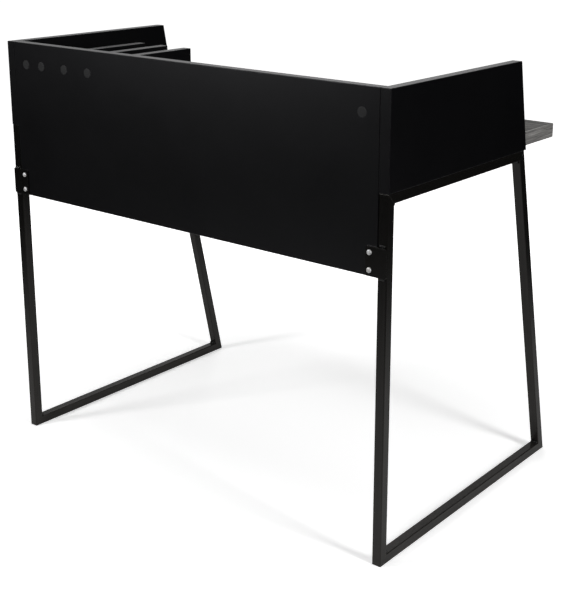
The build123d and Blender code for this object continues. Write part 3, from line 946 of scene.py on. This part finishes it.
class DESK_OT_steel(bpy.types.Operator):
    """Give the leg frames and brackets their black powder coat"""

    bl_idname = "desk.finish_steel"
    bl_label = "Finish Steel Frames"

    def execute(self, context):
        finish(TUBES, once("black_powder_coat_tube", coated_tube))
        finish(BRACKETS, once("black_powder_coat_plate", coated_plate))
        return {"FINISHED"}


class DESK_OT_joinery(bpy.types.Operator):
    """Give the cams, bolts, dowels and rack screws their metal and wood"""

    bl_idname = "desk.finish_joinery"
    bl_label = "Finish Hidden Joinery"

    def execute(self, context):
        cam_parts = [f"{board}_{part}" for board in ("back_panel", "desktop")
                     for part in ("cams", "cam_bolts")]
        finish(cam_parts, once("die_cast_zinc", cast_zinc))
        finish(("rack_screws",), once("zinc_plating", zinc_plate))
        finish(("back_panel_dowels", "desktop_dowels"), once("beech", dowel_wood))
        return {"FINISHED"}


class DESK_OT_screws(bpy.types.Operator):
    """Add pan-head screws with cross recesses, on the brackets and under the top rails"""

    bl_idname = "desk.add_screws"
    bl_label = "Add Pan-head Screws"

    def execute(self, context):
        sizes = context.scene.desk_sizes
        zinc = once("zinc_plating", zinc_plate)
        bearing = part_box("left_bracket")[1].y
        shapes = []
        for points in islands("bracket_screws"):
            low, high = points.min(axis=0), points.max(axis=0)
            middle = (low + high) / 2
            off = np.linalg.norm((points - middle)[:, (0, 2)], axis=1)
            shank_radius = off[np.abs(points[:, 1] - low[1]) < TOUCH].max()
            shapes.append(screw_surface(
                (middle[0], bearing, middle[2]), (0.0, 1.0, 0.0), (high[0] - low[0]) / 2,
                high[1] - bearing, shank_radius, bearing - low[1], sizes))
        add_piece("bracket_screws_crosshead", shapes, zinc, ("bracket_screws",))
        for side in ("left", "right"):
            low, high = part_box(f"{side}_top_rail")
            shapes = [
                screw_surface(
                    ((low.x + high.x) / 2, y, low.z), (0.0, 0.0, -1.0), sizes.rail_head_radius,
                    sizes.rail_head_height, RAIL_SHANK * sizes.rail_head_radius,
                    RAIL_SCREW_LENGTH, sizes)
                for y in (low.y + sizes.rail_screw_inset, high.y - sizes.rail_screw_inset)
            ]
            add_piece(f"{side}_rail_screws", shapes, zinc)
        return {"FINISHED"}


class DESK_OT_welds(bpy.types.Operator):
    """Add rippled weld beads in the frame corners and along the brackets"""

    bl_idname = "desk.add_welds"
    bl_label = "Add Weld Beads"

    def execute(self, context):
        sizes = context.scene.desk_sizes
        coat = once("black_powder_coat_weld", coated_weld)
        for side in ("left", "right"):
            for kind, growth in (("frame_welds", sizes.corner_growth), ("bracket_welds", 1.0)):
                node = f"{side}_{kind}"
                shapes = [bead_surface(points, sizes, growth) for points in islands(node)]
                add_piece(f"{node}_rippled", shapes, coat, (node,),
                          sharp=BEAD_SHARP)
        return {"FINISHED"}


class DESK_OT_covers(bpy.types.Operator):
    """Add the five round covers on the rear face"""

    bl_idname = "desk.add_covers"
    bl_label = "Add Covers"

    def execute(self, context):
        for node in ("cam_covers", "rack_screw_covers"):
            shapes = []
            for points in islands(node):
                low, high = points.min(axis=0), points.max(axis=0)
                middle = ((low[0] + high[0]) / 2, low[1], (low[2] + high[2]) / 2)
                shapes.append(cover_surface(middle, (high[0] - low[0]) / 2, high[1] - low[1],
                                            (0.0, 1.0, 0.0), context.scene.desk_sizes))
            add_piece(f"{node}_rounded", shapes, once("matte_cover_plastic", matte_cover),
                      (node,))
        return {"FINISHED"}


class DESK_OT_stage(bpy.types.Operator):
    """Build the floor, the studio light and the camera"""

    bl_idname = "desk.build_stage"
    bl_label = "Build Stage"

    def execute(self, context):
        scene = context.scene
        studio = scene.desk_studio
        scene.view_settings.view_transform = "Standard"
        scene.world = studio_world(studio)
        make_floor()
        for name, (place, size, setting) in LAMPS.items():
            add_lamp(name, place, size, getattr(studio, setting))
        scene.camera = make_camera(studio)
        return {"FINISHED"}


OPERATORS = (DESK_OT_boards, DESK_OT_desktop, DESK_OT_steel, DESK_OT_joinery, DESK_OT_screws,
             DESK_OT_welds, DESK_OT_covers, DESK_OT_stage)


class DESK_PT_panel(bpy.types.Panel):
    """The desk's pieces, sizes and colours"""

    bl_idname = "DESK_PT_panel"
    bl_label = "Writing Desk"
    bl_space_type = "VIEW_3D"
    bl_region_type = "UI"
    bl_category = "Desk"

    def draw(self, context):
        layout = self.layout
        for operator in OPERATORS:
            layout.operator(operator.bl_idname)
        scene = context.scene
        for group in (scene.desk_sizes, scene.desk_colours, scene.desk_studio):
            box = layout.box()
            for name in group.__annotations__:
                box.prop(group, name)


CLASSES = (DeskSizes, DeskColours, DeskStudio, *OPERATORS, DESK_PT_panel)


def register():
    for cls in CLASSES:
        bpy.utils.register_class(cls)
    bpy.types.Scene.desk_sizes = PointerProperty(type=DeskSizes)
    bpy.types.Scene.desk_colours = PointerProperty(type=DeskColours)
    bpy.types.Scene.desk_studio = PointerProperty(type=DeskStudio)


def unregister():
    del bpy.types.Scene.desk_studio
    del bpy.types.Scene.desk_colours
    del bpy.types.Scene.desk_sizes
    for cls in reversed(CLASSES):
        bpy.utils.unregister_class(cls)


def main():
    """Builds everything: registers the classes and runs each operator."""
    register()
    for operator in OPERATORS:
        group, action = operator.bl_idname.split(".")
        getattr(getattr(bpy.ops, group), action)()


if __name__ == "__main__":
    main()
